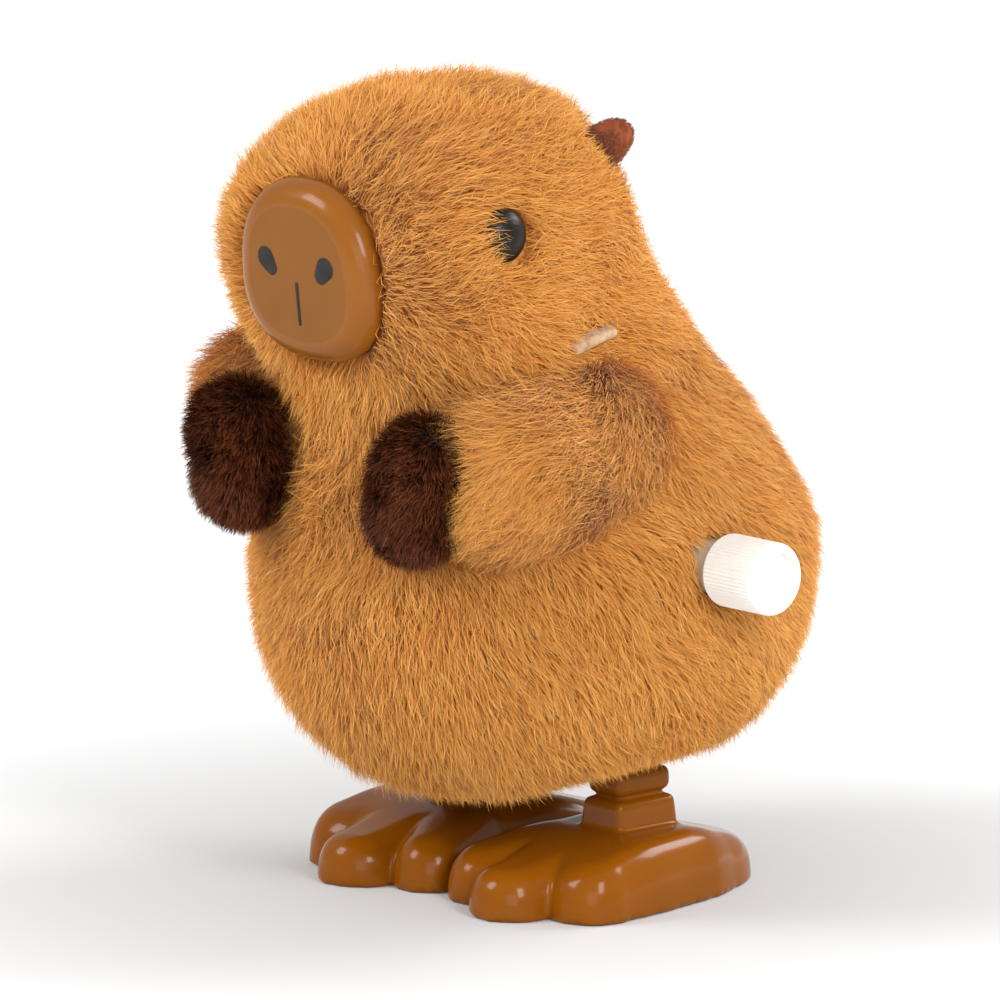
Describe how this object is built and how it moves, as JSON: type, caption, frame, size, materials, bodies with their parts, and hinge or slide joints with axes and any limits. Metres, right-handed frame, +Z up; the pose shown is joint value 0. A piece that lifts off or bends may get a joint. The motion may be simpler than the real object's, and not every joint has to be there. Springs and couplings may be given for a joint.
{
  "type": "wind-up hopping plush animal",
  "caption": "Wind-up hopping toy: a plush long-muzzled animal over a spring movement, on two moulded feet that swing from a sprung leg frame, with a ribbed knob on its flank.",
  "frame": {"origin": "on the ground, midway between the two feet, under the body's centre plane", "axes": "+Z up; the muzzle faces -Y; +X is the toy's own left, the side with the winding knob"},
  "size_m": [0.078, 0.0741, 0.1008],
  "materials": {
    "plush_tan": "long soft pile",
    "plush_dark": "long soft pile",
    "felt_brown": "short napped felt",
    "tape_cream": "woven cotton tape",
    "fill_white": "loose polyester fill",
    "eye_black": "high gloss",
    "nose_caramel": "satin gloss",
    "foot_caramel": "high gloss",
    "washer_white": "plain",
    "shell_grey": "moulded, plain",
    "case_natural": "moulded, plain",
    "gear_nylon": "moulded nylon",
    "cam_acetal": "moulded acetal",
    "bush_clear": "translucent, greyish",
    "knob_white": "satin, slightly translucent",
    "leg_taupe": "satin moulded",
    "steel": "bright",
    "spring_steel": "blued spring steel",
    "brass": "stamped brass"
  },
  "bodies": {
    "root": {"plush_cover": "plush_tan", "head_stuffing": "fill_white", "left_arm": "plush_tan", "right_arm": "plush_tan", "left_paw": "plush_dark", "right_paw": "plush_dark", "arm_seam_tapes": "tape_cream", "left_ear": "felt_brown", "right_ear": "felt_brown", "left_eye": "eye_black", "right_eye": "eye_black", "eye_washers": "washer_white", "nose_plate": "nose_caramel", "nose_washer": "washer_white", "inner_shell_left": "shell_grey", "inner_shell_right": "shell_grey", "shell_screws": "steel", "base_plate": "shell_grey", "base_screws": "steel", "movement_case_left": "case_natural", "movement_case_right": "case_natural", "case_screws": "steel", "knob_neck_bush": "bush_clear", "mainspring": "spring_steel", "spring_anchor_pin": "steel", "pallet_pin": "steel", "leg_pivot_pins": "steel", "leg_return_spring": "spring_steel"},
    "knob": {"winding_knob": "knob_white", "winding_arbor": "steel", "ratchet_wheel": "brass"},
    "great_wheel_set": {"great_wheel": "brass", "click": "steel", "click_rivet": "steel"},
    "second_wheel_set": {"second_wheel": "gear_nylon", "second_arbor": "steel"},
    "cam_wheel_set": {"cam_wheel": "gear_nylon", "cam_arbor": "steel", "hop_cam": "cam_acetal"},
    "star_wheel_set": {"star_wheel": "gear_nylon", "star_arbor": "steel"},
    "pallet_rocker": {"pallet": "steel"},
    "legs": {"leg_frame": "leg_taupe", "left_foot": "foot_caramel", "right_foot": "foot_caramel"}
  },
  "joints": [
    {"name": "knob_wind", "type": "hinge", "parent": "root", "child": "knob", "pos_m": [0, 0, 0.045], "axis": [1, 0, 0], "continuous": true, "deforming": ["mainspring"]},
    {"name": "great_wheel_spin", "type": "hinge", "parent": "root", "child": "great_wheel_set", "pos_m": [0, 0, 0.045], "axis": [1, 0, 0], "continuous": true},
    {"name": "second_wheel_spin", "type": "hinge", "parent": "root", "child": "second_wheel_set", "pos_m": [0, 0.00596, 0.03546], "axis": [1, 0, 0], "continuous": true},
    {"name": "cam_wheel_spin", "type": "hinge", "parent": "root", "child": "cam_wheel_set", "pos_m": [0, -0.00295, 0.03421], "axis": [1, 0, 0], "continuous": true},
    {"name": "star_wheel_spin", "type": "hinge", "parent": "root", "child": "star_wheel_set", "pos_m": [0, -0.0087, 0.03903], "axis": [1, 0, 0], "continuous": true},
    {"name": "pallet_rock", "type": "hinge", "parent": "root", "child": "pallet_rocker", "pos_m": [0, -0.00977, 0.04513], "axis": [1, 0, 0], "range_deg": [-3, 3]},
    {"name": "leg_swing", "type": "hinge", "parent": "root", "child": "legs", "pos_m": [0, 0.0035, 0.038], "axis": [1, 0, 0], "range_deg": [0, 12], "stiffness_Nm_per_rad": 0.03, "springref_deg": -14.32, "deforming": ["leg_return_spring"]}
  ],
  "couplings": [
    {"joint": "second_wheel_spin", "follows": "great_wheel_spin", "ratio": -4},
    {"joint": "cam_wheel_spin", "follows": "great_wheel_spin", "ratio": 10.4},
    {"joint": "star_wheel_spin", "follows": "great_wheel_spin", "ratio": -28.6}
  ]
}
